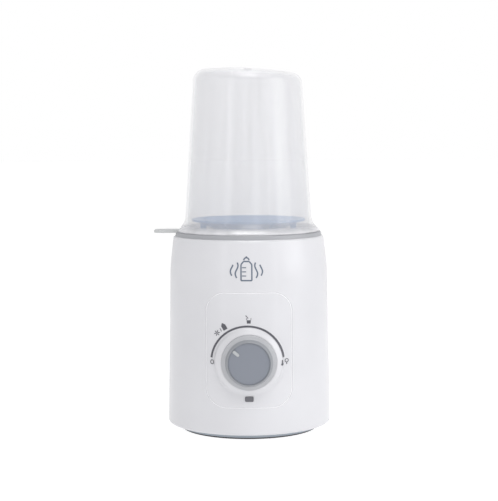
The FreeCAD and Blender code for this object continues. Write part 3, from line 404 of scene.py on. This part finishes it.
def print_on(name, draw, surfaces, made):
    """Ink on surfaces that face the front: a thin slab that follows them, drawn in millimetres."""
    flat = bmesh.new()
    draw(flat)
    cut_fine(flat)
    bmesh.ops.recalc_face_normals(flat, faces=flat.faces)
    backs = close_slab(flat)
    depsgraph = bpy.context.evaluated_depsgraph_get()
    trees = [BVHTree.FromObject(surface, depsgraph) for surface in surfaces]
    for vertex in flat.verts:
        vertex.co *= MM
        lift = PRINT_LIFT if vertex in backs else -PRINT_LIFT
        vertex.co.y = front_of(trees, vertex.co) + lift
    bmesh.ops.recalc_face_normals(flat, faces=flat.faces)
    mesh = bpy.data.meshes.new(name)
    flat.to_mesh(mesh)
    flat.free()
    mesh.materials.append(made)
    piece = bpy.data.objects.new(name, mesh)
    bpy.context.scene.collection.objects.link(piece)
    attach(piece, "base_unit")


def draw_scale(flat):
    """The dial's arc, from the hottest end round to the off end."""
    radius, hottest, off = 28.5, 8.0, 173.0
    stroke(flat, arc_points(DIAL_CENTRE, radius, hottest, off), width=1.5)


def draw_zero(flat):
    """The off end: a nought."""
    centre = Vector((-29.0, 62.5))
    half_width, half_height, count = 1.15, 1.6, 24
    angles = [math.tau * step / count for step in range(count)]
    points = [
        centre + Vector((half_width * math.cos(angle), half_height * math.sin(angle)))
        for angle in angles
    ]
    stroke(flat, points, width=0.6, closed=True)


def draw_thaw(flat):
    """A six-spoked star for gentle warming."""
    centre = Vector((-24.9, 85.4))
    spokes, tilt, inner, outer = 6, 0.26, 0.45, 2.3
    for spoke in range(spokes):
        angle = math.tau * spoke / spokes + tilt
        ray = Vector((math.cos(angle), math.sin(angle)))
        line(flat, centre + ray * inner, centre + ray * outer, width=0.6)


def draw_slash(flat):
    """The stroke between the star and the bottle."""
    line(flat, (-21.4, 86.8), (-22.6, 89.3), width=0.5)


def draw_bottle(flat):
    """A feeding bottle, leaning outward from the dial."""
    right_side = [(1.75, -2.7), (1.75, 1.2), (1.0, 1.7), (1.0, 2.1), (0.3, 3.0)]
    left_side = [(-across, up) for across, up in reversed(right_side)]
    patch(flat, [Vector(corner) for corner in right_side + left_side])
    placed(flat, Vector((-19.5, 90.6)), degrees=30.0)


def draw_cup(flat):
    """A jar of food with a spoon."""
    food = [(-1.4, -2.0), (1.4, -2.0), (1.7, 0.6), (-1.7, 0.6)]
    patch(flat, [Vector(corner) for corner in food])
    for side in (-1.0, 1.0):
        line(flat, (side * 1.6, 0.8), (side * 1.8, 2.2), width=0.45)
    line(flat, (-0.5, 2.0), (-2.4, 4.3), width=0.6)
    placed(flat, Vector((-0.1, 95.3)))


def draw_hot(flat):
    """A thermometer and a puff of steam on its stalk at the hottest end."""
    bulb, bulb_radius = Vector((26.0, 61.2)), 1.0
    puff, puff_radius = Vector((29.5, 63.4)), 1.3
    line(flat, bulb + Vector((0.0, 0.7)), bulb + Vector((0.0, 3.4)), width=0.9)
    patch(flat, circle_points(bulb, bulb_radius))
    stroke(flat, circle_points(puff, puff_radius), width=0.5, closed=True)
    line(flat, puff - Vector((0.0, 1.5)), puff - Vector((0.0, 3.0)), width=0.7)


def wave_points(centre, side, reach, count):
    """A rising wavy line that far to one side of the mark's centre."""
    rise, drop, swing, pitch = 0.85, 1.0, 1.1, 2.4
    points = []
    for step in range(count):
        across = side * (reach + swing * math.sin(step / pitch))
        points.append(centre + Vector((across, (step - count / 2) * rise - drop)))
    return points


def draw_warm_mark(flat):
    """A plain mark of our own above the panel: a bottle standing between rising waves."""
    centre = Vector((-1.7, 136.2))
    half, foot, shoulder, neck, collar = 4.2, -9.4, 3.0, 2.2, 5.4
    dome, dome_radius, teat_foot, teat_top = 6.3, 2.0, 7.8, 9.4
    mark_start, mark_end = -3.4, -0.2
    bold, fine = 1.1, 0.8
    outline = [
        (-half, shoulder),
        (-half, foot),
        (half, foot),
        (half, shoulder),
        (neck, collar),
        (-neck, collar),
        (-half, shoulder),
    ]
    for start, end in zip(outline, outline[1:]):
        line(flat, centre + Vector(start), centre + Vector(end), bold)
    stroke(flat, arc_points(centre + Vector((0.0, dome)), dome_radius, 0.0, 180.0), bold)
    line(flat, centre + Vector((0.0, teat_foot)), centre + Vector((0.0, teat_top)), bold)
    for level in (-5.8, -2.6, 0.6):
        line(flat, centre + Vector((mark_start, level)), centre + Vector((mark_end, level)), fine)
    for side in (-1.0, 1.0):
        for reach, count in ((7.6, 15), (11.4, 11)):
            stroke(flat, wave_points(centre, side, reach, count), bold)


def draw_seam_highlight(flat):
    """A pale strip in the seam round the panel's rounded rectangle: a painted highlight that also
    covers the seam's shade.
    """
    half, bottom, top, corner, outside = 33.4, 26.8, 116.8, 15.0, 0.05
    across, low, high = half - corner, bottom + corner, top - corner
    centres = [(across, high), (-across, high), (-across, low), (across, low)]
    points = []
    for quarter, centre in enumerate(centres):
        start = 90.0 * quarter
        points += arc_points(Vector(centre), corner + outside, start, start + 90.0)
    stroke(flat, points, width=0.5, closed=True)


def print_marks():
    """Prints the dial and the front mark, and lays a pale strip in the panel's seam, a painted
    highlight over its shade.
    """
    ink = finish_of["print_grey"]
    panel, shell = nodes["control_panel"], nodes["housing"]
    marks = {
        "dial_scale": draw_scale,
        "dial_zero": draw_zero,
        "dial_thaw": draw_thaw,
        "dial_slash": draw_slash,
        "dial_bottle": draw_bottle,
        "dial_cup": draw_cup,
        "dial_hot": draw_hot,
    }
    for name, draw in marks.items():
        print_on(name, draw, [panel], ink)
    print_on("front_mark", draw_warm_mark, [shell], finish_of["mark_blue_grey"])
    # The strip in the seam is a painted highlight.
    print_on("panel_seam", draw_seam_highlight, [panel, shell], finish_of["painted_seam_highlight"])


print_marks()

# ---------------------------------------------------------------- floor, light and camera

# What the lamps point at.
MIDDLE = Vector((0.0, 0.0, 0.15))


def make_floor():
    """A pale floor that glows a little, so that the warmer's shadow on it stays faint.

    It glows a little less far behind, where it meets the white of the world.
    """
    mesh = bpy.data.meshes.new("floor")
    shape = bmesh.new()
    bmesh.ops.create_circle(shape, cap_ends=True, segments=96, radius=12.0)
    shape.to_mesh(mesh)
    shape.free()
    floor = bpy.data.objects.new("floor", mesh)
    bpy.context.scene.collection.objects.link(floor)
    made, tree, shader = material("pale_floor")
    colour_between(tree, shader, noise(tree, scale=6.0), (0.36, 0.36, 0.36), (0.4, 0.4, 0.4))
    shader.inputs["Roughness"].default_value = 0.8
    shader.inputs["Emission Color"].default_value = (1.0, 1.0, 1.0, 1.0)
    glow = along_axis(tree, "Y", start=0.5, end=1.5, first=0.85, second=0.76)
    tree.links.new(glow, shader.inputs["Emission Strength"])
    mesh.materials.append(made)


def make_light(name, place, size, power):
    """A rectangular lamp that points at the middle of the warmer; metres and watts."""
    lamp = bpy.data.lights.new(name, "AREA")
    lamp.shape = "RECTANGLE"
    lamp.size, lamp.size_y = size
    lamp.energy = power
    holder = bpy.data.objects.new(name, lamp)
    holder.location = place
    holder.rotation_euler = (MIDDLE - Vector(place)).to_track_quat("-Z", "Y").to_euler()
    bpy.context.scene.collection.objects.link(holder)


def make_world(level, overhead):
    """White all round, dimmer overhead, so that upright walls and soft edges keep their form."""
    world = bpy.data.worlds.new("studio")
    world.use_nodes = True
    tree = world.node_tree
    background = tree.nodes["Background"]
    background.inputs["Color"].default_value = (1.0, 1.0, 1.0, 1.0)
    height = tree.nodes.new("ShaderNodeSeparateXYZ")
    tree.links.new(tree.nodes.new("ShaderNodeTexCoord").outputs["Generated"], height.inputs[0])
    low, high = 0.2, 0.6
    fade = ranged(tree, height.outputs["Z"], low, high, level, overhead)
    tree.links.new(fade, background.inputs["Strength"])
    bpy.context.scene.world = world


def make_camera():
    """A long lens, a little above the middle of the warmer and looking slightly down."""
    camera = bpy.data.objects.new("camera", bpy.data.cameras.new("camera"))
    bpy.context.scene.collection.objects.link(camera)
    camera.data.sensor_width = 36.0
    camera.data.lens = 101.07
    camera.location = (0.0004, -1.150, 0.2397)
    pitch = math.radians(90.0 - 4.71)
    roll = math.radians(-0.32)
    turn = Matrix.Rotation(pitch, 3, "X") @ Matrix.Rotation(roll, 3, "Z")
    camera.rotation_euler = turn.to_euler()
    bpy.context.scene.camera = camera


make_floor()
make_world(level=1.0, overhead=0.45)
make_light("key", (1.3, -0.5, 0.6), size=(0.8, 1.0), power=6.0)
make_light("front", (0.1, -0.8, 1.3), size=(0.6, 0.4), power=7.0)
make_light("strip_left", (-0.5, -0.7, 0.3), size=(0.04, 0.6), power=0.35)
make_light("strip_right", (0.55, -0.7, 0.3), size=(0.04, 0.6), power=0.35)
make_light("top", (0.0, 0.0, 1.2), size=(0.5, 0.3), power=3.0)
make_camera()
bpy.context.scene.view_settings.view_transform = "Standard"
